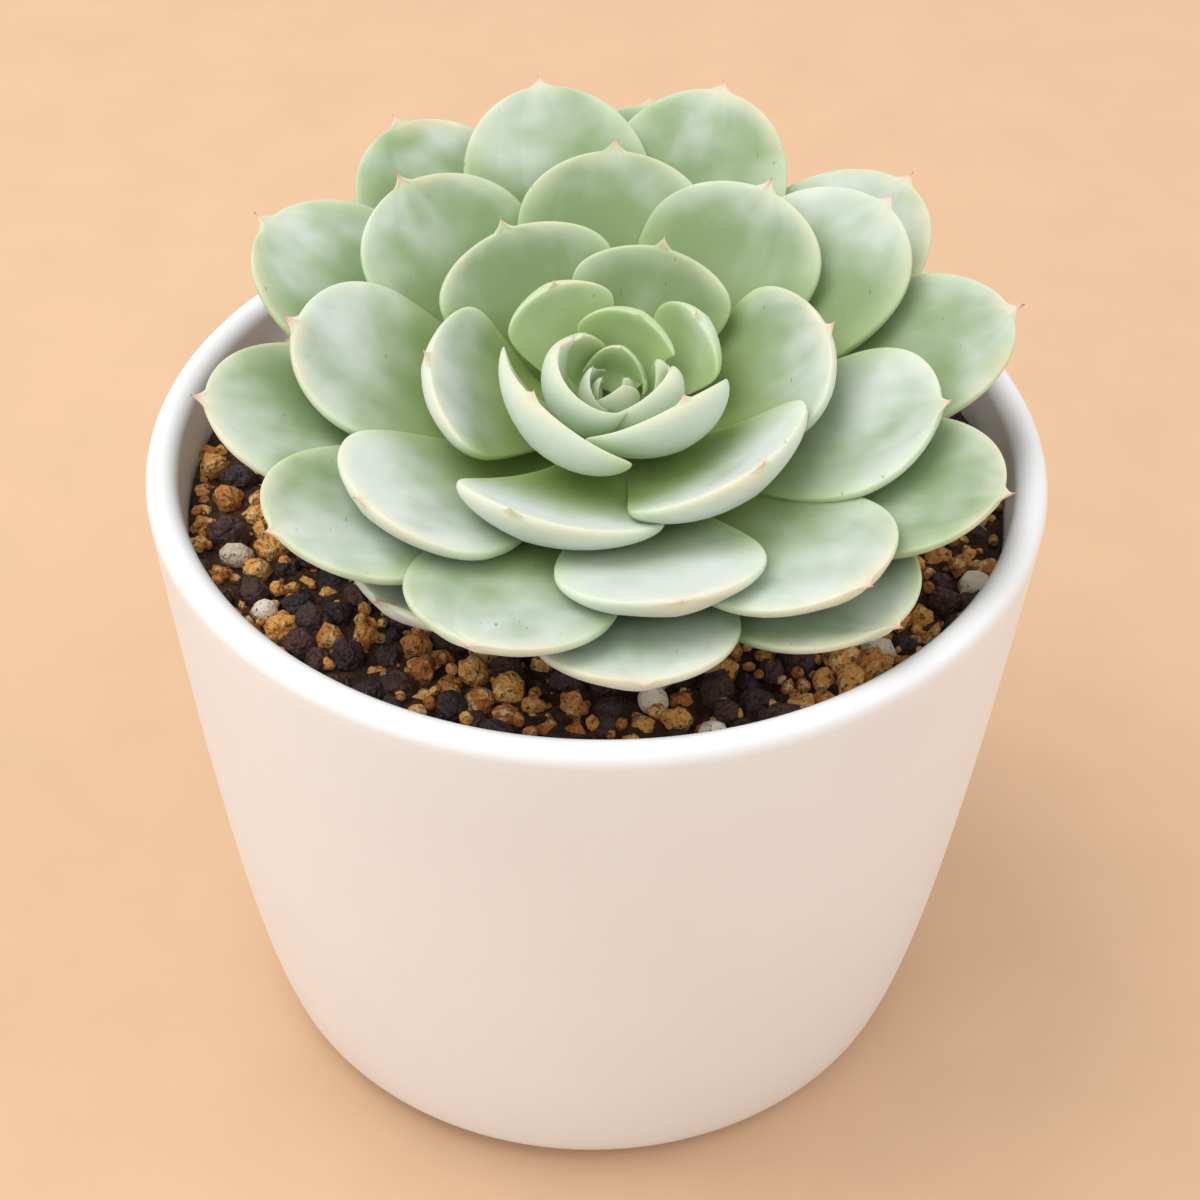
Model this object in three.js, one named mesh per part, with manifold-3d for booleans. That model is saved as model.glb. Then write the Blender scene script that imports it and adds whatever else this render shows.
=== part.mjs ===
// A potted echeveria: a rosette of fleshy leaves on one short stem, in coarse soil, in a tapered ceramic pot.
// Millimetres, +Z up. The origin is on the ground, under the middle of the pot.

import * as THREE from 'three';
import { mergeVertices } from 'three/addons/utils/BufferGeometryUtils.js';
import Module from 'manifold-3d';

// Pot
const RIM_RADIUS = 55;
const POT_HEIGHT = 85.5;
const FOOT_RADIUS = 41.7;
const FOOT_TOP = 4; // how high the soft edge of the foot reaches
const WALL = 4;
const FLARE = 0.587; // below 1, the wall leans out fast near the foot and slowly near the rim
const FLOOR = 6;
const INNER_EDGE = 6; // the sloping edge between the floor and the wall inside
const POT_SIDES = 48;
const WALL_STEPS = 5;
const ROUND_STEPS = 3;

// Soil
const SOIL_TOP = 79;
const SOIL_DIP = 2.5; // how much lower the soil lies at the stem
const GRAIN_SIZE = 4.4;
const GRAIN_SPACING = 9.6;
const GRAIN_CLEAR_OF_STEM = 14;
const SOIL_SEED = 7;

// Rosette: it leans a little toward the front, about the place where the stem leaves the soil
const ROSETTE_PLACE = new THREE.Vector3(1.5, -2, 79.4);
const LEAN = 9;
const GOLDEN_ANGLE = Math.PI * (3 - Math.sqrt(5));

// Stem, along the rosette's axis, from its height above the soil
const STEM_BOTTOM = -16;
const STEM_TOP = 13.6;
const STEM_RADIUS = 5.6;
const STEM_NECK = 3.2;
const STEM_SIDES = 20;

// Leaves
const LEAF_WIDTH = 24.2;
const LEAF_THICKNESS = 4.1;
const THINNEST_LEAF = 0.8;
const WIDEST_AT = 0.66; // part of the way from the root to the tip
const HEART_HEIGHT = 20.5;
const TIP_HEIGHT = 24.3;
const OLD_LEAF_DROP = 7.5; // how much lower the oldest leaf holds its tip
const TOP_ROOT = 14.2;
const BOTTOM_ROOT = 5.5;
const ROOT_RADIUS = 4.6;
const POINT_LENGTH = 1.9;
const SKEW = 0.035; // how much narrower a swept leaf gets, per millimetre, on the side that it is swept to
const LEAF_MESH = { stations: 8, sides: 8 };
const YOUNG_LEAF_MESH = { stations: 6, sides: 12 }; // for the leaves that wrap round the bud
const YOUNG_REACH = 15;
const TUCK = 0.17; // how far a young leaf turns one side in, under the next leaf
const BULGE = 2.5; // how much farther out than its point a young leaf's back stands
const BUD_MESH = { stations: 4, sides: 6 };

// A piece stands this far clear of its neighbour where the two touch
const GAP = 0.3;

// Each leaf's direction round the stem in degrees, anticlockwise from +X, how far its point reaches from the
// stem's axis and, for some, how broad it is for its reach, how far its point is swept round the stem and how
// much higher than its neighbours' the point is held.
// They run from the youngest leaf outward.
const BUD_LEAVES = [
  [180, 0.9], [345, 1.2], [295, 1.9, 1.1, 0.5], [200, 2.2, 1.15, -1.5],
  [72, 3.4, 1.05], [8, 4.9, 0.42], [126, 5.4, 0.38],
];
const LEAVES = [
  [76, 7.6, 0.72, -1.5], [215, 6.4, 1.14, -5.5, 1], [314, 6.1, 0.7, 4],
  [231, 12, 1.09, -2, 1.8], [38, 12.6, 0.62, 0, -0.5], [120, 14, 0.64], [311, 10.7, 0.95, 1.5, 1],
  [73, 21.3, 0.86], [180, 22], [254, 26.8, 1, -4], [121, 27], [314, 25, 1.12, 0, 1.4], [13, 27],
  [90, 38.3], [58, 37], [219, 36.8], [282, 38.5], [172, 39.2], [131, 41.4], [351, 40],
  [40, 45.3], [310, 45], [251, 46.5], [216, 47.5],
  [101, 52.5], [151, 50.5], [337, 49.8], [187, 49.2], [75, 54.5], [14, 51.2],
  [122, 54], [275, 46.5], [45, 53.8], [312, 48.6], [85, 54.5], [231, 41.5],
];

const wasm = await Module();
wasm.setup();

const radians = THREE.MathUtils.degToRad;

// Solids for cutting and joining

function toSolid(geometry, matrix = new THREE.Matrix4()) {
  const bare = geometry.clone().applyMatrix4(matrix);
  bare.deleteAttribute('normal');
  bare.deleteAttribute('uv');
  const merged = mergeVertices(bare, 1e-4);
  return new wasm.Manifold(new wasm.Mesh({
    numProp: 3,
    vertProperties: new Float32Array(merged.attributes.position.array),
    triVerts: new Uint32Array(merged.index.array),
  }));
}

function toGeometry(solid) {
  const mesh = solid.getMesh();
  const geometry = new THREE.BufferGeometry();
  geometry.setAttribute('position', new THREE.BufferAttribute(mesh.vertProperties, 3));
  geometry.setIndex(new THREE.BufferAttribute(mesh.triVerts, 1));
  return geometry;
}

function largestBody(solid) {
  return solid.decompose().reduce((best, body) => (body.volume() > best.volume() ? body : best));
}

function piece(name, geometry, color, roughness) {
  const shown = geometry.toNonIndexed();
  shown.computeVertexNormals();
  const mesh = new THREE.Mesh(shown, new THREE.MeshStandardMaterial({ color, roughness, metalness: 0 }));
  mesh.name = name;
  return mesh;
}

// Pot: one revolved wall of even thickness, with a fully rounded rim and a flat foot

function potRadius(z) {
  return FOOT_RADIUS + (RIM_RADIUS - FOOT_RADIUS) * (Math.max(z, 0) / (POT_HEIGHT - WALL / 2)) ** FLARE;
}

function potGeometry() {
  const rimRound = WALL / 2;
  const rimZ = POT_HEIGHT - rimRound;
  const lean = Math.atan((FLARE * (potRadius(FOOT_TOP) - FOOT_RADIUS)) / FOOT_TOP);
  const footRound = FOOT_TOP / (1 - Math.sin(lean));
  const footCentre = potRadius(FOOT_TOP) - footRound * Math.cos(lean);
  const profile = [new THREE.Vector2(0, 0)];
  for (let i = 0; i <= ROUND_STEPS; i += 1) {
    const turn = (Math.PI / 2 - lean) * (i / ROUND_STEPS);
    const radius = footCentre + footRound * Math.sin(turn);
    profile.push(new THREE.Vector2(radius, footRound * (1 - Math.cos(turn))));
  }
  for (let i = 1; i <= WALL_STEPS; i += 1) {
    const z = FOOT_TOP + (rimZ - FOOT_TOP) * (i / WALL_STEPS);
    profile.push(new THREE.Vector2(potRadius(z), z));
  }
  const rimCentre = potRadius(rimZ) - rimRound;
  for (let i = 1; i <= ROUND_STEPS; i += 1) {
    const turn = Math.PI * (i / ROUND_STEPS);
    profile.push(new THREE.Vector2(rimCentre + rimRound * Math.cos(turn), rimZ + rimRound * Math.sin(turn)));
  }
  for (let i = WALL_STEPS - 1; i >= 0; i -= 1) {
    const z = FLOOR + INNER_EDGE + (rimZ - FLOOR - INNER_EDGE) * (i / WALL_STEPS);
    profile.push(new THREE.Vector2(potRadius(z) - WALL, z));
  }
  profile.push(new THREE.Vector2(potRadius(FLOOR) - WALL - INNER_EDGE, FLOOR));
  profile.push(new THREE.Vector2(0, FLOOR));
  return new THREE.LatheGeometry(profile, POT_SIDES);
}

// Stem: a short thick column that narrows to the bud

function stemGeometry(grow) {
  const profile = [
    [0, STEM_BOTTOM - grow],
    [STEM_RADIUS * 0.7 + grow, STEM_BOTTOM - grow],
    [STEM_RADIUS + grow, STEM_BOTTOM + 3],
    [STEM_RADIUS + grow, BOTTOM_ROOT],
    [STEM_NECK + grow, STEM_TOP + grow],
    [0, STEM_TOP + grow],
  ].map(([r, z]) => new THREE.Vector2(r, z));
  return new THREE.LatheGeometry(profile, STEM_SIDES).rotateX(Math.PI / 2);
}

// Soil: a bed that fills the pot, covered with lumpy grains laid out like the seeds of a sunflower

function soilBedGeometry() {
  const profile = [new THREE.Vector2(0, FLOOR + GAP)];
  profile.push(new THREE.Vector2(potRadius(FLOOR) - WALL - INNER_EDGE - GAP, FLOOR + GAP));
  for (let i = 0; i <= WALL_STEPS; i += 1) {
    const z = FLOOR + INNER_EDGE + (POT_HEIGHT - WALL / 2 - FLOOR - INNER_EDGE) * (i / WALL_STEPS);
    if (z < SOIL_TOP) profile.push(new THREE.Vector2(potRadius(z) - WALL - 2 * GAP, z));
  }
  profile.push(new THREE.Vector2(potRadius(SOIL_TOP) - WALL - 2 * GAP, SOIL_TOP));
  profile.push(new THREE.Vector2(0, SOIL_TOP - SOIL_DIP));
  return new THREE.LatheGeometry(profile, POT_SIDES).rotateX(Math.PI / 2);
}

function seededRandom(seed) {
  let state = seed;
  return () => {
    state = (state * 16807) % 2147483647;
    return state / 2147483647;
  };
}

function grainSolids() {
  const random = seededRandom(SOIL_SEED);
  const reach = potRadius(SOIL_TOP) - WALL - 2 * GAP - GRAIN_SIZE;
  const count = Math.floor((reach / GRAIN_SPACING) ** 2 * Math.PI);
  const grains = [];
  for (let k = 0; k < count; k += 1) {
    const radius = reach * Math.sqrt((k + 0.5) / count);
    const turn = k * GOLDEN_ANGLE;
    const size = GRAIN_SIZE * (0.82 + 0.3 * random());
    const matrix = new THREE.Matrix4().compose(
      new THREE.Vector3(radius * Math.cos(turn), radius * Math.sin(turn),
        SOIL_TOP - SOIL_DIP * (1 - radius / reach) - 0.9 + 0.9 * random()),
      new THREE.Quaternion().setFromEuler(new THREE.Euler(6 * random(), 6 * random(), 6 * random())),
      new THREE.Vector3(Math.min(size, GRAIN_SIZE), size, 0.85 * size),
    );
    if (radius > GRAIN_CLEAR_OF_STEM) grains.push(toSolid(new THREE.IcosahedronGeometry(1, 0), matrix));
  }
  return grains;
}

// Leaf: an arched blade, narrow at the root, widest beyond the middle, with a rounded end and a small point.
// Its upper face is nearly flat and its under face full, with a slight ridge toward the tip. The nearer its
// point is to the axis, the more it stands up and closes over the bud.

function leafShape([direction, reach, breadth = 1, sweep = 0, rise = 0], root, tipHeight) {
  const closed = 1 - THREE.MathUtils.smoothstep(reach, 12, 22);
  const young = 1 - THREE.MathUtils.smoothstep(reach, 6, 12);
  const tipSlope = radians(Math.min(112, 100 - 1.45 * reach + 20 * closed + 8 * young));
  const pointLength = POINT_LENGTH * Math.min(1, 0.3 + reach / 30);
  const tip = new THREE.Vector2(
    reach - pointLength * Math.cos(tipSlope),
    tipHeight + rise - pointLength * Math.sin(tipSlope),
  );
  const bulge = Math.min(BULGE, 1 + 0.6 * reach) * closed;
  const elbowRadius = root.x + (tip.x - root.x) * Math.min(0.9, 0.98 - 0.0078 * reach) + bulge;
  const elbowHeight = Math.max(tip.y - (tip.x - elbowRadius) * Math.tan(tipSlope), root.y);
  return {
    direction: radians(direction),
    middleLine: new THREE.QuadraticBezierCurve(root, new THREE.Vector2(elbowRadius, elbowHeight), tip),
    halfWidth: breadth * (LEAF_WIDTH / 2) * (1 - Math.exp(-reach / 5)),
    thickness: Math.max(THINNEST_LEAF, LEAF_THICKNESS * (1 - Math.exp(-reach / 8))),
    cupRadius: 0.4 + 0.9 * reach + 1.4 * Math.exp(-reach / 3)
      + 6 * THREE.MathUtils.smoothstep(reach, 6, 10.5),
    neck: 0.2 + 0.3 * Math.exp(-reach / 12),
    bluntness: THREE.MathUtils.smoothstep(reach, 2, 9),
    widestAt: THREE.MathUtils.lerp(0.5, WIDEST_AT, THREE.MathUtils.smoothstep(reach, 3, 6)),
    pointLength,
    sweep,
    tuck: TUCK * (1 - THREE.MathUtils.smoothstep(reach, 12, 14)),
  };
}

function widthAlong(s, { neck, bluntness, widestAt }) {
  if (s < widestAt) return neck + (1 - neck) * Math.sin((Math.PI / 2) * (s / widestAt)) ** 1.5;
  const past = (s - widestAt) / (1 - widestAt);
  return Math.max(1 - past ** (1.7 + 0.4 * bluntness), 0) ** (0.8 - 0.28 * bluntness);
}

function thicknessAlong(s) {
  const swell = THREE.MathUtils.smoothstep(s, 0, 0.65);
  const past = Math.max(s - 0.5, 0) / 0.5;
  return (0.42 + 0.58 * swell) * Math.sqrt(1 - 0.98 * past ** 3);
}

function leafGeometry(shape, { stations, sides }, grow = 0) {
  const outward = new THREE.Vector3(Math.cos(shape.direction), Math.sin(shape.direction), 0);
  const sideways = new THREE.Vector3(-Math.sin(shape.direction), Math.cos(shape.direction), 0);
  const points = [];
  // A point by its part along the middle line, then how far out, to the side and off the face it lies
  const place = (s, ahead, side, lift) => {
    const { x: radius, y: height } = shape.middleLine.getPoint(s);
    const { x: run, y: climb } = shape.middleLine.getTangent(s);
    const point = outward.clone().multiplyScalar(radius + ahead * run - lift * climb);
    points.push(point.addScaledVector(sideways, side).setZ(height + ahead * climb + lift * run));
  };
  const wrapped = (s, round, inner, ahead = 0) => {
    const turn = (round + shape.sweep * s ** 2) / shape.cupRadius;
    const side = inner * Math.sin(turn);
    place(s, ahead, side, shape.cupRadius - inner * Math.cos(turn) - shape.tuck * side);
  };
  place(0, -2 * grow, 0, -0.2 * shape.thickness * thicknessAlong(0));
  for (let i = 0; i <= stations; i += 1) {
    const s = 0.997 * Math.sin((Math.PI / 2) * (i / stations)) ** 0.9;
    const half = shape.halfWidth * widthAlong(s, shape) + grow;
    const thick = shape.thickness * thicknessAlong(s);
    const ridge = 0.35 * s;
    for (let j = 0; j < sides; j += 1) {
      const turn = 2 * Math.PI * (j / sides);
      const side = Math.cos(turn);
      const round = Math.abs(Math.sin(turn));
      const face = Math.sin(turn) > 0
        ? 0.22 * thick * round
        : -0.78 * thick * ((1 - ridge) * round + ridge * (1 - Math.abs(side)));
      const inner = shape.cupRadius - face - grow * Math.sin(turn);
      wrapped(s, half * side * (1 - SKEW * shape.sweep * side), inner, i === 0 ? -grow : 0);
    }
  }
  wrapped(1, 0, shape.cupRadius, shape.pointLength + grow);

  const index = [];
  const ring = (i, j) => 1 + i * sides + (j % sides);
  for (let j = 0; j < sides; j += 1) {
    index.push(0, ring(0, j + 1), ring(0, j));
    for (let i = 0; i < stations; i += 1) {
      index.push(ring(i, j), ring(i, j + 1), ring(i + 1, j + 1));
      index.push(ring(i, j), ring(i + 1, j + 1), ring(i + 1, j));
    }
    index.push(ring(stations, j), ring(stations, j + 1), points.length - 1);
  }
  return new THREE.BufferGeometry().setFromPoints(points).setIndex(index);
}

function rootAt(age) {
  const height = THREE.MathUtils.lerp(TOP_ROOT, BOTTOM_ROOT, age ** 0.85);
  return new THREE.Vector2(ROOT_RADIUS * (0.62 + 0.38 * Math.min(1, 2 * age)), height);
}

// Bud: the youngest leaves, grown together at their roots on a small core

function budSolid() {
  const core = [[0, TOP_ROOT - 0.2], [2.7, TOP_ROOT - 0.2], [2.4, TOP_ROOT + 3], [0, TOP_ROOT + 4]]
    .map(([r, z]) => new THREE.Vector2(r, z));
  const shapes = BUD_LEAVES.map((leaf, k) => {
    const age = k / BUD_LEAVES.length;
    const root = new THREE.Vector2(0.8 + 0.25 * leaf[1], TOP_ROOT + 2.6 - 1.6 * age);
    return leafShape(leaf, root, THREE.MathUtils.lerp(HEART_HEIGHT, TIP_HEIGHT - 0.8, age));
  });
  const coreSolid = toSolid(new THREE.LatheGeometry(core, STEM_SIDES).rotateX(Math.PI / 2));
  return {
    solid: shapes.reduce((sum, shape) => sum.add(toSolid(leafGeometry(shape, BUD_MESH))), coreSolid),
    grown: shapes.reduce((sum, shape) => sum.add(toSolid(leafGeometry(shape, BUD_MESH, GAP))), coreSolid),
  };
}

// Assembly

const POT_WHITE = 0xf3efe9;
const SOIL_BROWN = 0x8a5a34;
const STEM_GREEN = 0x9aa67c;
const BUD_GREEN = 0xb4c98f;
const LEAF_GREEN = 0xa9c0a4;

const plant = new THREE.Group();
plant.name = 'potted_echeveria';

const rosette = new THREE.Group();
rosette.position.copy(ROSETTE_PLACE);
rosette.rotation.x = radians(LEAN);
rosette.updateMatrix();
plant.add(rosette);

const pot = new THREE.Group();
pot.rotation.x = Math.PI / 2;
pot.add(piece('pot', potGeometry(), POT_WHITE, 0.35));
plant.add(pot);

const stemHole = toSolid(stemGeometry(GAP), rosette.matrix);
const soil = grainSolids().reduce((bed, grain) => bed.add(grain), toSolid(soilBedGeometry()));
plant.add(piece('soil', toGeometry(largestBody(soil.subtract(stemHole))), SOIL_BROWN, 0.95));

rosette.add(piece('stem', stemGeometry(0), STEM_GREEN, 0.7));

const stemRoom = toSolid(stemGeometry(GAP));
const bud = budSolid();
rosette.add(piece('bud', toGeometry(largestBody(bud.solid.subtract(stemRoom))), BUD_GREEN, 0.5));

// Each older leaf is pressed against the younger ones inside it, so it is cut back to stand clear of them
const rooms = [stemRoom, bud.grown];
LEAVES.forEach((row, k) => {
  const age = k / (LEAVES.length - 1);
  const shape = leafShape(row, rootAt(age), TIP_HEIGHT - OLD_LEAF_DROP * age ** 5);
  const mesh = row[1] < YOUNG_REACH ? YOUNG_LEAF_MESH : LEAF_MESH;
  const leaf = rooms.reduce((left, room) => left.subtract(room), toSolid(leafGeometry(shape, mesh)));
  rooms.push(toSolid(leafGeometry(shape, mesh, GAP)));
  const name = `leaf_${String(k + 1).padStart(2, '0')}`;
  rosette.add(piece(name, toGeometry(largestBody(leaf)), LEAF_GREEN, 0.55));
});

export default plant;
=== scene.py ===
import math

import bmesh
import bpy
from mathutils import Matrix, Vector, noise


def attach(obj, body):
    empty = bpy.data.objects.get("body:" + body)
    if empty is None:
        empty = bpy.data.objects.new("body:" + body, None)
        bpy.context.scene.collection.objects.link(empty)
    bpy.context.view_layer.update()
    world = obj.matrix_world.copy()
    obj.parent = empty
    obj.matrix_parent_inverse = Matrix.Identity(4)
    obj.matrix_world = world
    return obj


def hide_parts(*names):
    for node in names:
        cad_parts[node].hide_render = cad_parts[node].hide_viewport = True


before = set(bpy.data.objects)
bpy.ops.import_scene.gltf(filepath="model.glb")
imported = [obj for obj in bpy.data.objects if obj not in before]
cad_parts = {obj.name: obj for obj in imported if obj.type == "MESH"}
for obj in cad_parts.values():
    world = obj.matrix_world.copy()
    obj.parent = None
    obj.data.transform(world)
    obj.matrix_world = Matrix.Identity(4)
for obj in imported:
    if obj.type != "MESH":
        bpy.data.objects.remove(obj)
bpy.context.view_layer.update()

# Pot: one slip-cast ceramic cup with an even wall, a fully rounded rim and a flat foot with a soft edge.
# It has a satin white glaze all over, except under the foot, where the bare clay shows. It holds the soil.

MM = 0.001  # sizes are in millimetres and meshes in metres
RIM_RADIUS = 55
POT_HEIGHT = 85.5
FOOT_RADIUS = 41.7
FOOT_TOP = 4  # where the foot's rounding ends
WALL = 4
FLARE = 0.587  # below 1 the side swells near the foot
FLOOR = 6
INNER_EDGE = 6
POT_SIDES = 192
WALL_STEPS = 40
ROUND_STEPS = 16
FOOT_RINGS = 6
UNGLAZED_BELOW = (0.0001, 0.0007)  # metres above the table

GLAZE_WHITE = (0.855, 0.87, 0.90, 1)
GLAZE_SHADE = (0.835, 0.845, 0.87, 1)
BARE_CLAY = (0.62, 0.50, 0.40, 1)


class Signal:
    """A socket of a node tree. An expression on it adds the Math nodes that work it out."""

    def __init__(self, tree, socket=None):
        self.tree = tree
        self.socket = socket

    def node(self, kind, settings=None, inputs=None, output=0):
        """Adds a node, its settings first and then the values or links of its inputs."""
        made = self.tree.nodes.new(kind)
        for name, setting in (settings or {}).items():
            setattr(made, name, setting)
        for name, given in (inputs or {}).items():
            if isinstance(given, Signal):
                self.tree.links.new(given.socket, made.inputs[name])
            else:
                made.inputs[name].default_value = given
        return Signal(self.tree, made.outputs[output])

    def math(self, operation, *others):
        terms = dict(enumerate((self, *others)))
        return self.node("ShaderNodeMath", {"operation": operation}, terms)

    def __add__(self, other):
        return self.math("ADD", other)

    def __sub__(self, other):
        return self.math("SUBTRACT", other)

    def __rsub__(self, other):
        return self.node("ShaderNodeMath", {"operation": "SUBTRACT"}, {0: other, 1: self})

    def __mul__(self, other):
        return self.math("MULTIPLY", other)

    def __truediv__(self, other):
        return self.math("DIVIDE", other)

    def __pow__(self, other):
        return self.math("POWER", other)

    __radd__ = __add__
    __rmul__ = __mul__

    def fade(self, low, high):
        """Goes smoothly from 0 to 1 while the value goes from low to high."""
        return self.node(
            "ShaderNodeMapRange", {"interpolation_type": "SMOOTHSTEP"}, {0: self, 1: low, 2: high, 3: 0, 4: 1}
        )

    def mix(self, low, high):
        """Goes from one color to another while the value goes from 0 to 1."""
        return self.node("ShaderNodeMix", {"data_type": "RGBA"}, {0: self, 6: low, 7: high}, 2)

    def noise(self, scale, detail=2, stretch=(1, 1, 1), place=(0, 0, 0)):
        """Noise at this vector, with the scale in patches per metre."""
        mapped = self.node("ShaderNodeMapping", None, {"Vector": self, "Scale": stretch, "Location": place})
        return self.node("ShaderNodeTexNoise", None, {"Vector": mapped, "Scale": scale, "Detail": detail})


def new_material(name):
    """A material, its Principled shader and the object's own coordinates."""
    material = bpy.data.materials.new(name)
    material.use_nodes = True
    shader = material.node_tree.nodes["Principled BSDF"]
    place = Signal(material.node_tree).node("ShaderNodeTexCoord", None, None, "Object")
    return material, shader, place


def feed(shader, name, signal):
    signal.tree.links.new(signal.socket, shader.inputs[name])


def bump(shader, height, strength, distance):
    feed(shader, "Normal", height.node(
        "ShaderNodeBump", None, {"Height": height, "Strength": strength, "Distance": distance}
    ))


def revolve(name, profile, sides, material):
    """Turns a profile of (radius, height) in millimetres, from axis to axis, round the upright axis."""
    form = bmesh.new()
    rings = []
    for radius, height in profile:
        if radius == 0:
            rings.append([form.verts.new((0, 0, height * MM))] * sides)
        else:
            rings.append([
                form.verts.new((
                    radius * MM * math.cos(2 * math.pi * k / sides),
                    radius * MM * math.sin(2 * math.pi * k / sides),
                    height * MM,
                ))
                for k in range(sides)
            ])
    for lower, upper in zip(rings, rings[1:]):
        for k in range(sides):
            after = (k + 1) % sides
            corners = dict.fromkeys((lower[k], lower[after], upper[after], upper[k]))
            if len(corners) > 2:
                form.faces.new(corners)
    mesh = bpy.data.meshes.new(name)
    form.to_mesh(mesh)
    form.free()
    mesh.shade_smooth()
    mesh.materials.append(material)
    piece = bpy.data.objects.new(name, mesh)
    bpy.context.scene.collection.objects.link(piece)
    return piece


def pot_radius(height):
    """The outer radius of the pot at a height."""
    return FOOT_RADIUS + (RIM_RADIUS - FOOT_RADIUS) * (max(height, 0) / (POT_HEIGHT - WALL / 2)) ** FLARE


def pot_profile():
    """Half a section of the pot: under the foot, up the outside, over the rim and down the inside."""
    rim_height = POT_HEIGHT - WALL / 2
    rim_middle = pot_radius(rim_height) - WALL / 2
    lean = math.atan(FLARE * (pot_radius(FOOT_TOP) - FOOT_RADIUS) / FOOT_TOP)
    rounding = FOOT_TOP / (1 - math.sin(lean))
    foot_middle = pot_radius(FOOT_TOP) - rounding * math.cos(lean)
    foot = [(ring * foot_middle / FOOT_RINGS, 0) for ring in range(FOOT_RINGS)]
    for k in range(ROUND_STEPS):
        turn = (math.pi / 2 - lean) * k / ROUND_STEPS
        foot.append((foot_middle + rounding * math.sin(turn), rounding - rounding * math.cos(turn)))
    heights = [FOOT_TOP + (rim_height - FOOT_TOP) * k / WALL_STEPS for k in range(WALL_STEPS)]
    outside = [(pot_radius(height), height) for height in heights]
    rim = []
    for k in range(ROUND_STEPS + 1):
        turn = math.pi * k / ROUND_STEPS
        rim.append((rim_middle + WALL / 2 * math.cos(turn), rim_height + WALL / 2 * math.sin(turn)))
    bend = FLOOR + INNER_EDGE
    inside = []
    for k in range(WALL_STEPS - 1, -1, -1):
        height = bend + (rim_height - bend) * k / WALL_STEPS
        inside.append((pot_radius(height) - WALL, height))
    floor_radius = pot_radius(bend) - WALL - INNER_EDGE
    for k in range(1, ROUND_STEPS + 1):
        turn = math.pi / 2 * k / ROUND_STEPS
        inside.append((floor_radius + INNER_EDGE * math.cos(turn), bend - INNER_EDGE * math.sin(turn)))
    return foot + outside + rim + inside + [(0, FLOOR)]


glaze, shader, place = new_material("satin_glaze")
mottle = place.noise(28, 3)
under = 1 - place.node("ShaderNodeSeparateXYZ", None, {0: place}, "Z").fade(*UNGLAZED_BELOW)
feed(shader, "Base Color", under.mix(mottle.fade(0.35, 0.7).mix(GLAZE_WHITE, GLAZE_SHADE), BARE_CLAY))
feed(shader, "Roughness", 0.33 + place.noise(160, 2) * 0.12 + under * 0.4)
shader.inputs["Coat Weight"].default_value = 0.15
shader.inputs["Coat Roughness"].default_value = 0.25
bump(shader, place.noise(95, 2) + place.noise(700, 2) * 0.25, 0.06, 0.0006)

pot = revolve("pot_cup", pot_profile(), POT_SIDES, glaze)
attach(pot, "root")
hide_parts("pot")

# Soil: a free-draining mix of ochre fired clay, dark lava and round off-white pumice, in lumps of 2.5 to 6 mm
# with fine bits between them. It lies loose in the pot, on a darker bed, and dips a little toward the stem.

SOIL_TOP = 79
SOIL_DIP = 2.5  # how much lower the soil lies at the stem
SOIL_REACH = 50
BED_RINGS = 26
BED_SIDES = 120
BED_DEPTH = 1.6  # how far the bed lies below the tops of the granules
BED_SIDE_HEIGHTS = range(12, 77, 4)
BED_FLOOR_GAP = 0.3
BED_SIDE_GAP = 0.5
BED_TOP_GAP = 0.4
ROUGH_ABOVE = 0.0745  # metres above the table
ROUGH_HEIGHT = 0.0009  # metres
ROUGH_PATCHES = 420  # per metre
GROUND_STEPS = 60
GRANULE_SPACING = 3.3
GRANULE_SEED = 7
GRANULE_SINKING = 1.5
GRANULE_INSET = 0.6
GRANULE_LIFT = 0.4
GRANULE_SIDES = 8
GRANULE_RINGS = 5
SLIMMEST = (0.8, 0.8, 0.75)
STOUTEST = (1.15, 1.05, 1.0)
NO_TURN = (0, 0, 0)
FULL_TURN = (6.3, 6.3, 6.3)
BIT_SPACING = 1.9
BIT_SEED = 47

# Bed colours: the fines' own dark brown, deepened to near black as painted shade for the gaps between
# granules
BED_BROWN = (0.020, 0.010, 0.007, 1)
BED_RUST = (0.11, 0.040, 0.014, 1)
CLAY_OCHRE = (0.88, 0.42, 0.10, 1)
CLAY_RUST = (0.50, 0.16, 0.035, 1)
CLAY_SAND = (1.0, 0.72, 0.35, 1)
CLAY_PORE = (0.11, 0.032, 0.010, 1)
LAVA_BROWN = (0.080, 0.036, 0.030, 1)
LAVA_PLUM = (0.034, 0.019, 0.023, 1)
LAVA_GLINT = (0.30, 0.19, 0.16, 1)
PUMICE_WHITE = (0.90, 0.82, 0.70, 1)
PUMICE_GREY = (0.72, 0.61, 0.47, 1)
PUMICE_SPECK = (0.07, 0.05, 0.035, 1)


def soil_height(radius):
    """The height of the bed that the granules lie on."""
    return SOIL_TOP - SOIL_DIP * (1 - radius / SOIL_REACH) - BED_DEPTH


# The bed's near-black colour is painted shade for the gaps between the granules
bed_brown, shader, place = new_material("fines_painted_shade")
feed(shader, "Base Color", place.noise(900, 3).fade(0.35, 0.8).mix(BED_BROWN, BED_RUST))
shader.inputs["Roughness"].default_value = 0.95
bump(shader, place.noise(1500, 3), 0.8, 0.0008)

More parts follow.
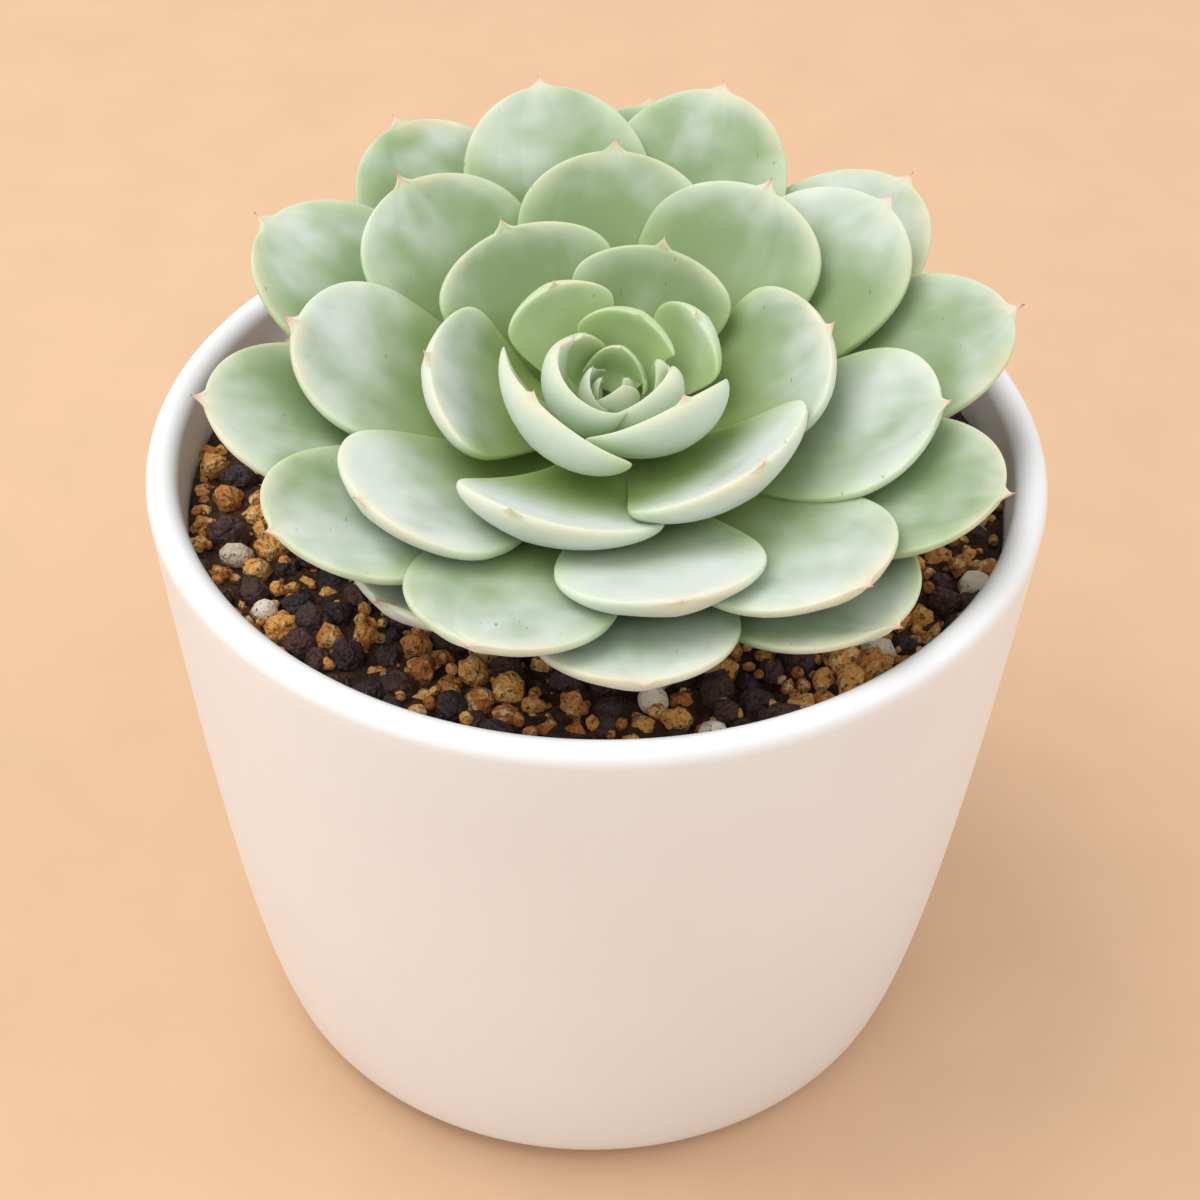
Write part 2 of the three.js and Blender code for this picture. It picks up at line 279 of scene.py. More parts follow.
bed_reach = pot_radius(SOIL_TOP) - WALL - BED_TOP_GAP
bed_bottom = FLOOR + BED_FLOOR_GAP
bed_corner = pot_radius(FLOOR + INNER_EDGE) - WALL - INNER_EDGE
bed_profile = [(0, bed_bottom), (bed_reach * 0.5, bed_bottom), (bed_corner, bed_bottom)]
for height in BED_SIDE_HEIGHTS:
    bed_profile.append((pot_radius(height) - WALL - BED_SIDE_GAP, height))
for ring in range(BED_RINGS):
    radius = bed_reach * (1 - ring / BED_RINGS)
    bed_profile.append((radius, soil_height(radius)))
bed_profile.append((0, soil_height(0)))
bed = revolve("soil_bed", bed_profile, BED_SIDES, bed_brown)
for vertex in bed.data.vertices:
    if vertex.co.z > ROUGH_ABOVE and vertex.co.xy.length < bed_reach * MM * 0.99:
        vertex.co.z += ROUGH_HEIGHT * noise.noise(vertex.co * ROUGH_PATCHES)
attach(bed, "root")
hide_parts("soil")


def open_tree(name, inputs):
    """A geometry tree with named inputs, and each of them as a signal."""
    tree = bpy.data.node_groups.new(name, "GeometryNodeTree")
    tree.interface.new_socket("Geometry", in_out="INPUT", socket_type="NodeSocketGeometry")
    tree.interface.new_socket("Geometry", in_out="OUTPUT", socket_type="NodeSocketGeometry")
    for title, kind in inputs.items():
        tree.interface.new_socket(title, in_out="INPUT", socket_type="NodeSocket" + kind)
    entry = tree.nodes.new("NodeGroupInput")
    return tree, {socket.name: Signal(tree, socket) for socket in entry.outputs if socket.name}


def close_tree(tree, geometry):
    leave = tree.nodes.new("NodeGroupOutput")
    tree.links.new(geometry.socket, leave.inputs[0])


def grow_piece(name, tree, sizes, start=None):
    """Runs a geometry tree on a start mesh with the given sizes, and keeps the result as a plain mesh."""
    piece = bpy.data.objects.new(name, start or bpy.data.meshes.new(name))
    bpy.context.scene.collection.objects.link(piece)
    modifier = piece.modifiers.new("growth", "NODES")
    modifier.node_group = tree
    for socket in tree.interface.items_tree:
        if socket.in_out == "INPUT" and socket.name in sizes:
            modifier[socket.identifier] = sizes[socket.name]
    bpy.context.view_layer.update()
    return settle(piece)


def settle(piece):
    """Turns what the modifiers show into the piece's own mesh, and removes them."""
    shown = piece.evaluated_get(bpy.context.evaluated_depsgraph_get())
    mesh = bpy.data.meshes.new_from_object(shown)
    piece.modifiers.clear()
    piece.data = mesh
    mesh.name = piece.name
    return piece


granule_tree, given = open_tree("granules", {
    "Spacing": "Float", "Seed": "Int", "Share from": "Float", "Share to": "Float", "Smallest": "Float",
    "Largest": "Float", "Sunk": "Float", "Lumps": "Float", "Lump size": "Float", "Finish": "Material",
})
start = Signal(granule_tree)
spread = start.node(
    "GeometryNodeDistributePointsOnFaces", {"distribute_method": "POISSON"},
    {"Mesh": given["Geometry"], "Distance Min": given["Spacing"], "Density Max": 2.0, "Seed": given["Seed"]},
)


def random_value(kind, low, high, draw):
    """A number or a vector for each granule, with a seed of its own for each draw."""
    first, output = {"FLOAT": (2, 1), "FLOAT_VECTOR": (0, 0)}[kind]
    return start.node(
        "FunctionNodeRandomValue", {"data_type": kind},
        {first: low, first + 1: high, "Seed": given["Seed"] + draw}, output,
    )


share = random_value("FLOAT", 0.0, 1.0, 11)
chosen = share.math("GREATER_THAN", given["Share from"]) * share.math("LESS_THAN", given["Share to"])
size = given["Smallest"] + (given["Largest"] - given["Smallest"]) * random_value("FLOAT", 0.0, 1.0, 12) ** 1.4
sinking = random_value("FLOAT", -1.0, 0.35, 13) * given["Sunk"]
pebble = start.node("GeometryNodeMeshUVSphere", None, {
    "Segments": GRANULE_SIDES, "Rings": GRANULE_RINGS, "Radius": 0.5,
})
raised = start.node("GeometryNodeSetPosition", None, {
    "Geometry": spread, "Offset": start.node("ShaderNodeCombineXYZ", None, {"Z": sinking}),
})
placed = start.node("GeometryNodeInstanceOnPoints", None, {
    "Points": raised, "Selection": chosen, "Instance": pebble,
    "Rotation": random_value("FLOAT_VECTOR", NO_TURN, FULL_TURN, 14),
    "Scale": start.node("ShaderNodeVectorMath", {"operation": "SCALE"}, {
        0: random_value("FLOAT_VECTOR", SLIMMEST, STOUTEST, 15), "Scale": size,
    }),
})
tinted = start.node("GeometryNodeStoreNamedAttribute", {"data_type": "FLOAT", "domain": "INSTANCE"}, {
    "Geometry": placed, "Name": "tint", "Value": random_value("FLOAT", 0.0, 1.0, 16),
})
loose = start.node("GeometryNodeRealizeInstances", None, {"Geometry": tinted})
lump = start.node("ShaderNodeTexNoise", None, {
    "Vector": start.node("GeometryNodeInputPosition"), "Scale": given["Lump size"], "Detail": 1.5,
})
outward = start.node("ShaderNodeVectorMath", {"operation": "SCALE"}, {
    0: start.node("GeometryNodeInputNormal"), "Scale": (lump - 0.5) * given["Lumps"],
})
lumpy = start.node("GeometryNodeSetPosition", None, {"Geometry": loose, "Offset": outward})
sized = start.node("GeometryNodeTransform", None, {"Geometry": lumpy, "Scale": (MM, MM, MM)})
smooth = start.node("GeometryNodeSetShadeSmooth", None, {"Geometry": sized})
close_tree(granule_tree, start.node("GeometryNodeSetMaterial", None, {
    "Geometry": smooth, "Material": given["Finish"],
}))


def soil_surface():
    """The ground that the granules lie on, in millimetres: a square grid, pressed into a round one."""
    ground = bmesh.new()
    reach = bed_reach - GRANULE_INSET
    bmesh.ops.create_grid(ground, x_segments=GROUND_STEPS, y_segments=GROUND_STEPS, size=reach)
    for vertex in ground.verts:
        x, y = vertex.co.xy / reach
        radius = reach * max(abs(x), abs(y))
        turn = math.atan2(y, x) if x or y else 0
        vertex.co = (radius * math.cos(turn), radius * math.sin(turn), soil_height(radius) + GRANULE_LIFT)
    mesh = bpy.data.meshes.new("soil_surface")
    ground.to_mesh(mesh)
    ground.free()
    return mesh


def granule_finish(name, shades, knobs, speck_from, speck_color, roughness):
    """Rough grit: two shades from lump to lump, a third on the knobs, and pores or specks, which on the lava
    are painted glints.
    """
    material, shader, place = new_material(name)
    tint = place.node("ShaderNodeAttribute", {"attribute_name": "tint"}, None, "Fac")
    knob = place.noise(620, 2)
    grit = place.noise(1700, 3, place=(2, 5, 1))
    body = tint.fade(0.25, 0.9).mix(shades[0], shades[1])
    body = (knob * 0.6 + grit * 0.4).fade(0.48, 0.66).mix(body, shades[2])
    pore_and_glint = grit.fade(speck_from, speck_from + 0.05)
    feed(shader, "Base Color", (pore_and_glint * 0.85).mix(body, speck_color))
    shader.inputs["Roughness"].default_value = roughness
    bump(shader, knob * 1.2 + grit * 0.5 - pore_and_glint * 0.35, knobs, 0.0016)
    return material


ochre = granule_finish(
    "fired_clay", (CLAY_OCHRE, CLAY_RUST, CLAY_SAND),
    knobs=1.0, speck_from=0.60, speck_color=CLAY_PORE, roughness=0.85,
)
# On the lava the specks are painted glints
lava = granule_finish(
    "dark_lava", (LAVA_BROWN, LAVA_PLUM, LAVA_PLUM),
    knobs=1.0, speck_from=0.66, speck_color=LAVA_GLINT, roughness=0.6,
)
pumice = granule_finish(
    "pale_pumice", (PUMICE_WHITE, PUMICE_GREY, PUMICE_WHITE),
    knobs=0.6, speck_from=0.63, speck_color=PUMICE_SPECK, roughness=0.9,
)

for name, finish, sizes in (
    ("soil_clay_lumps", ochre, {
        "Share from": -1.0, "Share to": 0.56,
        "Smallest": 2.7, "Largest": 5.0, "Lumps": 3.0, "Lump size": 0.75,
    }),
    ("soil_lava_lumps", lava, {
        "Share from": 0.56, "Share to": 0.93,
        "Smallest": 3.6, "Largest": 6.2, "Lumps": 2.0, "Lump size": 0.48,
    }),
    ("soil_pumice_balls", pumice, {
        "Share from": 0.93, "Share to": 2.0,
        "Smallest": 3.8, "Largest": 5.2, "Lumps": 0.5, "Lump size": 0.5,
    }),
    ("soil_clay_bits", ochre, {
        "Share from": -1.0, "Share to": 2.0,
        "Smallest": 1.0, "Largest": 2.2, "Lumps": 0.7, "Lump size": 0.9,
        "Spacing": BIT_SPACING, "Seed": BIT_SEED,
    }),
):
    granules = grow_piece(name, granule_tree, {
        "Spacing": GRANULE_SPACING, "Seed": GRANULE_SEED, "Sunk": GRANULE_SINKING, "Finish": finish, **sizes,
    }, soil_surface())
    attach(granules, "root")

# Stem: one short thick column, green, and scarred where old leaves have dropped. It stands in the soil, leans
# a little toward the front and carries every leaf of the rosette.

ROSETTE_PLACE = (0.0015, -0.002, 0.0794)
LEAN = math.radians(9)
STEM_PROFILE = ((0, -16), (3.9, -16), (5.6, -13), (5.6, 5.5), (3.2, 13.6), (0, 13.6))
STEM_STEPS = 10
STEM_SIDES = 48

STEM_GREEN = (0.20, 0.26, 0.09, 1)
STEM_SCAR = (0.34, 0.30, 0.17, 1)

stem_skin, shader, place = new_material("stem_skin")
feed(shader, "Base Color", place.noise(300, 3).fade(0.3, 0.7).mix(STEM_GREEN, STEM_SCAR))
shader.inputs["Roughness"].default_value = 0.8
bump(shader, place.noise(700, 3, stretch=(1, 1, 3)), 0.7, 0.001)

stem_profile = []
for (radius, height), (next_radius, next_height) in zip(STEM_PROFILE, STEM_PROFILE[1:]):
    for k in range(STEM_STEPS):
        part = k / STEM_STEPS
        stem_profile.append((radius + (next_radius - radius) * part, height + (next_height - height) * part))
stem = revolve("stem_column", stem_profile + [STEM_PROFILE[-1]], STEM_SIDES, stem_skin)
stem.data.transform(Matrix.Translation(ROSETTE_PLACE) @ Matrix.Rotation(LEAN, 4, "X"))
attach(stem, "root")
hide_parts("stem")

# Bud: the youngest leaves, still closed round the growing tip and joined at their roots. Like all leaves of
# the rosette they are arched fleshy blades, thin at the root, thick where they are widest and softly pointed.

LEAF_WIDTH = 24.2
LEAF_THICKNESS = 4.1
THINNEST_LEAF = 0.8
WIDEST_AT = 0.66  # part of the way from the root to the tip
HEART_HEIGHT = 20.5
TIP_HEIGHT = 24.3
TOP_ROOT = 14.2
POINT_LENGTH = 1.9
SKEW = 0.035  # how much narrower a swept leaf gets, per millimetre, on the side that it is swept to
TUCK = 0.17  # how far a young leaf turns one side in, under the next leaf
BULGE = 2.5  # how much farther out than its point a young leaf's back stands
OPENING_REACH = (12, 22)  # from closed round the bud to open
YOUNG_REACH = (6, 12)
STEEPEST = 112  # degrees at the tip
LEAF_STATIONS = 44
LEAF_SIDES = 48
POINT_STATIONS = 7
BUD_SEED = 60.0
BUD_ROOT_RADIUS = 0.8
BUD_ROOT_RISE = 2.6  # above the uppermost root of the other leaves
BUD_ROOT_DROP = 1.6  # from the first leaf of the bud to the last
BUD_TIP_DROP = 0.8
POWDER_AND_PAINTED_LIGHT_FADE = (36.0, 52.0)  # the reach over which leaves get less powdery, and less of the painted light on the front leaves

# Direction round the stem in degrees, reach from its axis in millimetres, breadth, and sweep of the point
BUD_LEAVES = (
    (180, 0.9), (345, 1.2), (295, 1.9, 1.1, 0.5), (200, 2.2, 1.15, -1.5),
    (72, 3.4, 1.05), (8, 4.9, 0.42), (126, 5.4, 0.38),
)


def smoothstep(value, low, high):
    part = min(max((value - low) / (high - low), 0), 1)
    return part * part * (3 - 2 * part)


def leaf_sizes(leaf, root, tip_height):
    """The form of one leaf, from its row: upright and cupped close to the bud, and flatter farther out."""
    direction, reach, breadth, sweep, rise = (*leaf, *(1, 0, 0)[len(leaf) - 2:])
    closed = 1 - smoothstep(reach, *OPENING_REACH)
    young = 1 - smoothstep(reach, *YOUNG_REACH)
    slope = math.radians(min(STEEPEST, 100 - 1.45 * reach + 20 * closed + 8 * young))
    point = POINT_LENGTH * min(1, 0.3 + reach / 30)
    tip = (reach - point * math.cos(slope), tip_height + rise - point * math.sin(slope))
    bulge = min(BULGE, 1 + 0.6 * reach) * closed
    elbow_radius = root[0] + (tip[0] - root[0]) * min(0.9, 0.98 - 0.0078 * reach) + bulge
    elbow_height = max(tip[1] - (tip[0] - elbow_radius) * math.tan(slope), root[1])
    return {
        "Direction": math.radians(direction),
        "Root radius": root[0], "Root height": root[1],
        "Elbow radius": elbow_radius, "Elbow height": elbow_height,
        "Tip radius": tip[0], "Tip height": tip[1],
        "Half width": breadth * LEAF_WIDTH / 2 * (1 - math.exp(-reach / 5)),
        "Thickness": max(THINNEST_LEAF, LEAF_THICKNESS * (1 - math.exp(-reach / 8))),
        "Cup radius": 0.4 + 0.9 * reach + 1.4 * math.exp(-reach / 3) + 6 * smoothstep(reach, 6, 10.5),
        "Neck": 0.2 + 0.3 * math.exp(-reach / 12),
        "Bluntness": smoothstep(reach, 2, 9),
        "Edge": 1.35 - 0.55 * smoothstep(reach, 9, 30),
        "Widest at": 0.5 + (WIDEST_AT - 0.5) * smoothstep(reach, 3, 6),
        "Tuck": TUCK * (1 - smoothstep(reach, 12, 14)),
        "Point length": point,
        "Sweep": float(sweep),
    }


leaf_tree, given = open_tree("leaf", {
    "Direction": "Float", "Root radius": "Float", "Root height": "Float", "Elbow radius": "Float",
    "Elbow height": "Float", "Tip radius": "Float", "Tip height": "Float", "Half width": "Float",
    "Thickness": "Float", "Cup radius": "Float", "Neck": "Float", "Bluntness": "Float", "Widest at": "Float",
    "Edge": "Float", "Point length": "Float", "Sweep": "Float", "Tuck": "Float", "Waviness": "Float",
    "Seed": "Float", "Finish": "Material",
})
start = Signal(leaf_tree)

# A flat sheet is closed into a blade: its columns go round the blade and its rows from the root to the point
rows = LEAF_STATIONS + POINT_STATIONS + 2
sheet = start.node("GeometryNodeMeshGrid", None, {
    "Size X": 1.0, "Size Y": 1.0, "Vertices X": LEAF_SIDES + 1, "Vertices Y": rows,
})
flat = start.node("GeometryNodeInputPosition")
column = start.node("ShaderNodeSeparateXYZ", None, {0: flat}, "X") + 0.5
row = (start.node("ShaderNodeSeparateXYZ", None, {0: flat}, "Y") + 0.5) * (rows - 1)
turn = column * (2 * math.pi)
side = turn.math("COSINE")
rise = turn.math("SINE")
upper = rise.math("GREATER_THAN", 0.0)
full = row.math("GREATER_THAN", 0.5)
blade = ((row - 1) / LEAF_STATIONS).math("MAXIMUM", 0.0).math("MINIMUM", 1.0)
point = ((row - 1 - LEAF_STATIONS) / POINT_STATIONS).math("MAXIMUM", 0.0).math("MINIMUM", 1.0)
along = 0.997 * (blade * (math.pi / 2)).math("SINE") ** 0.9

# Half the breadth, and how far the top and the belly stand from the middle of the blade
widest = given["Widest at"]
rising = ((along / widest).math("MINIMUM", 1.0) * (math.pi / 2)).math("SINE") ** 1.5
past_widest = (along - widest).math("MAXIMUM", 0.0) / (1 - widest)
closing = (1 - past_widest ** (1.7 + 0.4 * given["Bluntness"])) ** (0.8 - 0.28 * given["Bluntness"])
outline = (given["Neck"] + (1 - given["Neck"]) * rising) * closing
half = given["Half width"] * outline * (1 - point) ** 2 * full
past = (along - 0.5).math("MAXIMUM", 0.0) * 2
swell = 0.42 + along.fade(0.0, 0.65) * 0.58
thick = given["Thickness"] * swell * (1 - 0.98 * past ** 3).math("SQRT") * (1 - point) ** 1.3
roundness = rise.math("ABSOLUTE") ** given["Edge"]
ridge = along * 0.35
top = thick * 0.22 * roundness
belly = thick * -0.78 * ((1 - ridge) * roundness + ridge * (1 - side.math("ABSOLUTE")))
ripple = start.node("ShaderNodeTexNoise", None, {
    "Vector": start.node("ShaderNodeCombineXYZ", None, {
        0: given["Seed"] * 7.3, 1: along * 1.7, 2: side * 0.8,
    }),
    "Scale": 1.6, "Detail": 1.0,
}) - 0.5

# The blade is bent sideways round a cup, and waves a little toward its end
face = upper.math("MULTIPLY_ADD", top - belly, belly) * full - (1 - full) * thick * 0.2
inner = given["Cup radius"] - face
lopsided = 1 - SKEW * given["Sweep"] * side
wrap = (half * side * lopsided + given["Sweep"] * along ** 2) / given["Cup radius"]
sideways = inner * wrap.math("SINE")
lift = given["Cup radius"] - inner * wrap.math("COSINE") - given["Tuck"] * sideways
lift = lift + ripple * given["Waviness"] * along
ahead = given["Point length"] * point


def curve_at(first, middle, last):
    """A place on the leaf's middle line, a curve with one elbow, and the way that it goes there."""
    back = 1 - along
    value = back * back * first + 2 * back * along * middle + along * along * last
    slope = back * (middle - first) + along * (last - middle)
    return value, slope


# The bent blade is laid along its middle line and turned to its place round the stem
radius, run = curve_at(given["Root radius"], given["Elbow radius"], given["Tip radius"])
height, climb = curve_at(given["Root height"], given["Elbow height"], given["Tip height"])
pace = (run * run + climb * climb).math("SQRT")
run = run / pace
climb = climb / pace
out = radius + ahead * run - lift * climb
cosine = given["Direction"].math("COSINE")
sine = given["Direction"].math("SINE")
spot = start.node("ShaderNodeCombineXYZ", None, {
    0: out * cosine - sideways * sine,
    1: out * sine + sideways * cosine,
    2: height + ahead * climb + lift * run,
})

# What the skin reads: the place along and round the blade, the distance to the margin, and the powdery
# whitening
to_side = half * (1 - side.math("ABSOLUTE"))
to_end = (1 - along) * (given["Tip radius"] - given["Root radius"] + given["Half width"] * 0.5)
# Leaves toward the front are whitened more, which is painted light; on the outermost leaves it fades
to_front = 0.5 - sine * 0.5
outermost = given["Tip radius"].fade(*POWDER_AND_PAINTED_LIGHT_FADE)
marked = sheet
for title, value in (
    ("along", along + point * 0.1),
    ("side", side),
    ("face", rise),
    ("margin", to_side.math("MINIMUM", to_end)),
    # powdery whitening, with painted light on the leaves toward the front
    ("powder_and_painted_light", to_front * (1 - outermost * 0.85)),
):
    marked = start.node("GeometryNodeStoreNamedAttribute", {"data_type": "FLOAT", "domain": "POINT"}, {
        "Geometry": marked, "Name": title, "Value": value,
    })
shaped = start.node("GeometryNodeSetPosition", None, {"Geometry": marked, "Position": spot})
sealed = start.node("GeometryNodeMergeByDistance", None, {"Geometry": shaped, "Distance": 0.002})
turned = start.node("GeometryNodeFlipFaces", None, {"Mesh": sealed})
leaned = start.node("GeometryNodeTransform", None, {
    "Geometry": turned, "Translation": ROSETTE_PLACE, "Rotation": (LEAN, 0, 0), "Scale": (MM, MM, MM),
})
smooth = start.node("GeometryNodeSetShadeSmooth", None, {"Geometry": leaned})
close_tree(leaf_tree, start.node("GeometryNodeSetMaterial", None, {
    "Geometry": smooth, "Material": given["Finish"],
}))

LEAF_SAGE = (0.205, 0.305, 0.13, 1)
LEAF_LIME = (0.39, 0.53, 0.23, 1)
LEAF_ROOT_GREEN_AND_SHADE = (0.215, 0.31, 0.075, 1)
LEAF_BLOOM = (0.64, 0.69, 0.67, 1)
LEAF_CREAM = (0.61, 0.70, 0.50, 1)
LEAF_MARGIN = (0.42, 0.55, 0.22, 1)
LEAF_PEACH = (0.86, 0.62, 0.46, 1)
LEAF_POINT = (0.84, 0.50, 0.40, 1)
LEAF_SCAR = (0.10, 0.13, 0.09, 1)


def leaf_finish(name, youth):
    """Waxy leaf skin with a powdery white coat, plus painted light on the front leaves and undersides and
    painted shade toward the roots; youth goes from 0 on the outer leaves to 1 in the bud.
    """
    material, shader, place = new_material(name)

    def mark(title):
        return place.node("ShaderNodeAttribute", {"attribute_name": title}, None, "Fac")

    along = mark("along")
    margin = mark("margin")
    face = mark("face")
    patch = place.noise(62, 2)
    cloud = place.noise(150, 2, place=(3, 1, 2))
    under = (0 - face).fade(-0.05, 0.3)
    powder_and_painted_light = mark("powder_and_painted_light")
    lengthwise = place.node("ShaderNodeCombineXYZ", None, {0: mark("side"), 1: along * 0.3, 2: powder_and_painted_light * 9})
    streak = lengthwise.noise(3.5, 3)
    mottle = patch * 0.62 + cloud * 0.38 + streak * 0.16
    # Powdery white: partly the leaf's own coat, partly painted light on the leaves toward the front
    bloom_and_painted_light = (mottle + along * 0.5 + powder_and_painted_light * 0.36).fade(0.86, 1.36)
    ground = (patch * 0.6 + youth * 0.5).fade(0.2, 0.9).mix(LEAF_SAGE, LEAF_LIME)
    body = (bloom_and_painted_light * (0.92 - 0.3 * youth)).mix(ground, LEAF_BLOOM)
    # Deeper green toward the root: partly the leaf's own colour, partly painted shade where the leaves
    # overlap
    body = ((1 - along).fade(0.25, 0.75) * (1 - 0.9 * youth)).mix(body, LEAF_ROOT_GREEN_AND_SHADE)
    soft = 1 - margin.fade(0.0, 4.2 - 2.6 * youth)
    # The underside is lightened away from its margin: partly its own powdery coat, partly painted bounce
    # light
    body = (under * (1 - soft) * 0.3).mix(body, LEAF_BLOOM)
    edge = 1 - margin.fade(0.0, 1.1 - 0.5 * youth)
    green_side = (1 - along).fade(0.12, 0.5)
    rim_color = green_side.mix(LEAF_CREAM, LEAF_MARGIN)
    body = (soft * (0.15 + 0.3 * cloud) * (1 - 0.5 * youth)).mix(body, rim_color)
    body = (edge * (0.22 - 0.1 * youth)).mix(body, rim_color)
    blush = place.noise(85, 2, place=(5, 5, 5)).fade(0.38, 0.66)
    warm = soft * along.fade(0.7, 1.0) * blush
    body = (warm * 0.3).mix(body, LEAF_PEACH)
    body = along.fade(1.0, 1.07).mix(body, LEAF_POINT)
    rare = place.noise(130, 1, place=(9, 4, 1)).fade(0.55, 0.62)
    scratch = place.noise(1900, 1, stretch=(1, 0.3, 0.6)).fade(0.72, 0.76) * (1 - under) * rare
    body = (scratch * 0.5).mix(body, LEAF_SCAR)
    feed(shader, "Base Color", body)
    feed(shader, "Roughness", 0.47 + bloom_and_painted_light * 0.16 - scratch * 0.1)
    shader.inputs["Subsurface Weight"].default_value = 0.4
    shader.inputs["Subsurface Radius"].default_value = (0.9, 1.0, 0.35)
    shader.inputs["Subsurface Scale"].default_value = 0.003
    shader.inputs["Specular IOR Level"].default_value = 0.4
    shader.inputs["Sheen Weight"].default_value = 0.1
    shader.inputs["Sheen Roughness"].default_value = 0.5
    bump(shader, place.noise(230, 2) + place.noise(2600, 2) * 0.06 - scratch * 0.4, 0.12, 0.0006)
    return material


young_skin = leaf_finish("young_leaf_skin", 1)

young = []
for order, leaf in enumerate(BUD_LEAVES):
    age = order / len(BUD_LEAVES)
    reach = leaf[1]
    root = (BUD_ROOT_RADIUS + 0.25 * reach, TOP_ROOT + BUD_ROOT_RISE - BUD_ROOT_DROP * age)
    sizes = leaf_sizes(leaf, root, HEART_HEIGHT + (TIP_HEIGHT - BUD_TIP_DROP - HEART_HEIGHT) * age)
    young.append(grow_piece(f"bud_leaf_{order}", leaf_tree, {
        **sizes, "Waviness": 0.0, "Seed": BUD_SEED + order, "Finish": young_skin,
    }))
with bpy.context.temp_override(active_object=young[0], object=young[0], selected_editable_objects=young):
    bpy.ops.object.join()
heart = young[0]
heart.name = "bud_leaves"
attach(heart, "root")
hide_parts("bud")

# Leaves: fleshy blades with a waxy, powdery skin, each grown on the stem by its own narrow root. The youngest
# stand close round the bud and the oldest lie nearly flat. Where real leaves press on each other, the blades
# here run into their neighbours, because they aren't cut back.

OLD_LEAF_DROP = 7.5  # how much lower the oldest leaf holds its tip
BOTTOM_ROOT = 5.5
ROOT_RADIUS = 4.6
YOUNG_SKIN_REACH = 15
WAVINESS = 0.9
SHARP_ANGLE = math.radians(50)

# As in the bud's list, with the rise of the point as a fifth value, from the heart outward
LEAVES = (
    (76, 7.6, 0.72, -1.5), (215, 6.4, 1.14, -5.5, 1), (314, 6.1, 0.7, 4),
    (231, 12, 1.09, -2, 1.8), (38, 12.6, 0.62, 0, -0.5), (120, 14, 0.64), (311, 10.7, 0.95, 1.5, 1),
    (73, 21.3, 0.86), (180, 22), (254, 26.8, 1, -4), (121, 27), (314, 25, 1.12, 0, 1.4), (13, 27),
    (90, 38.3), (58, 37), (219, 36.8), (282, 38.5), (172, 39.2), (131, 41.4), (351, 40),
    (40, 45.3), (310, 45), (251, 46.5), (216, 47.5),
    (101, 52.5), (151, 50.5), (337, 49.8), (187, 49.2), (75, 54.5), (14, 51.2),
    (122, 54), (275, 46.5), (45, 53.8), (312, 48.6), (85, 54.5), (231, 41.5),
)

outer_skin = leaf_finish("leaf_skin", 0)

for order, leaf in enumerate(LEAVES):
    age = order / (len(LEAVES) - 1)
    reach = leaf[1]
    root = (ROOT_RADIUS * (0.62 + 0.38 * min(1, 2 * age)), TOP_ROOT + (BOTTOM_ROOT - TOP_ROOT) * age ** 0.85)
    sizes = leaf_sizes(leaf, root, TIP_HEIGHT - OLD_LEAF_DROP * age ** 5)
    sizes.update({"Waviness": WAVINESS * min(1, reach / 40), "Seed": order + 1.0})
    sizes["Finish"] = young_skin if reach < YOUNG_SKIN_REACH else outer_skin
    blade = grow_piece(f"leaf_blade_{order + 1:02d}", leaf_tree, sizes)
    blade.data.set_sharp_from_angle(angle=SHARP_ANGLE)
    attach(blade, "root")
    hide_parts(f"leaf_{order + 1:02d}")

# Stage: a plain pale floor, one large soft light from above on the left, and weaker ones from the right and
# from the front left. The camera looks down from 41 degrees above the table and is rolled by one degree.

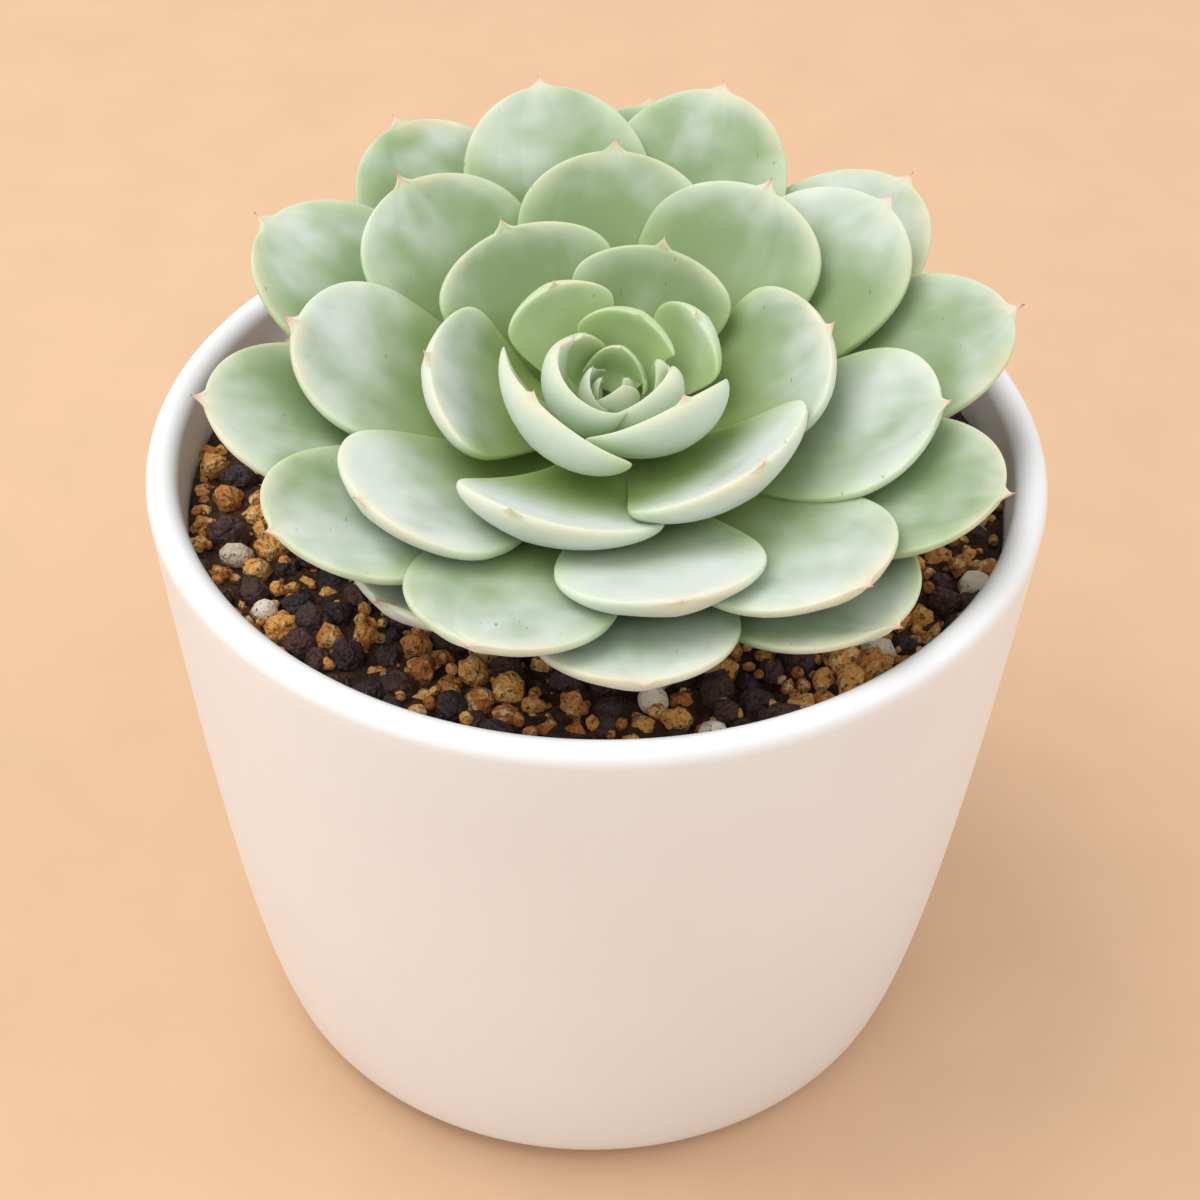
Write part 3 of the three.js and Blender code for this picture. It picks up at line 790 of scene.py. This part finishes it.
FLOOR_SAND = (0.69, 0.46, 0.29, 1)
FLOOR_SHADE = (0.66, 0.44, 0.275, 1)
ROOM_WHITE = (1.0, 0.98, 0.955, 1)
ROOM_LIGHT = 0.72
LIGHT_AIM = Vector((0, 0, 0.06))
LENS = 84  # millimetres, as the sensor's width
SENSOR_WIDTH = 36
LENS_SHIFT = 0.0045
CAMERA_PLACE = Vector((0, -0.2705, 0.2967))
CAMERA_AIM = Vector((0, 0, 0.0599))
CAMERA_ROLL = math.radians(1.02)

floor_sand, shader, place = new_material("floor_paper")
feed(shader, "Base Color", place.noise(60, 3).fade(0.2, 0.8).mix(FLOOR_SAND, FLOOR_SHADE))
shader.inputs["Roughness"].default_value = 0.9
floor_mesh = bpy.data.meshes.new("floor")
floor_mesh.from_pydata([(-3, -3, 0), (3, -3, 0), (3, 3, 0), (-3, 3, 0)], [], [(0, 1, 2, 3)])
floor_mesh.materials.append(floor_sand)
floor = bpy.data.objects.new("floor", floor_mesh)
bpy.context.scene.collection.objects.link(floor)

world = bpy.data.worlds.new("studio")
world.use_nodes = True
background = world.node_tree.nodes["Background"]
background.inputs["Color"].default_value = ROOM_WHITE
background.inputs["Strength"].default_value = ROOM_LIGHT
bpy.context.scene.world = world
bpy.context.scene.view_settings.view_transform = "Standard"

for name, spot, width, power, color in (
    ("key_light", (-0.45, 0.10, 0.95), 0.9, 6.3, (1.0, 0.99, 0.975)),
    ("right_light", (0.85, -0.05, 0.60), 0.9, 2.9, (0.99, 0.985, 1.0)),
    ("front_light", (-0.70, -0.75, 0.50), 0.8, 2.4, (0.98, 0.99, 1.0)),
):
    light = bpy.data.lights.new(name, "AREA")
    light.shape = "DISK"
    light.size = width
    light.energy = power
    light.color = color
    lamp = bpy.data.objects.new(name, light)
    lamp.location = spot
    lamp.rotation_euler = (LIGHT_AIM - Vector(spot)).to_track_quat("-Z", "Y").to_euler()
    bpy.context.scene.collection.objects.link(lamp)

lens = bpy.data.cameras.new("camera")
lens.lens = LENS
lens.sensor_width = SENSOR_WIDTH
lens.shift_x = LENS_SHIFT
camera = bpy.data.objects.new("camera", lens)
aim = (CAMERA_AIM - CAMERA_PLACE).to_track_quat("-Z", "Y").to_matrix().to_4x4()
camera.matrix_world = Matrix.Translation(CAMERA_PLACE) @ aim @ Matrix.Rotation(CAMERA_ROLL, 4, "Z")
bpy.context.scene.collection.objects.link(camera)
bpy.context.scene.camera = camera
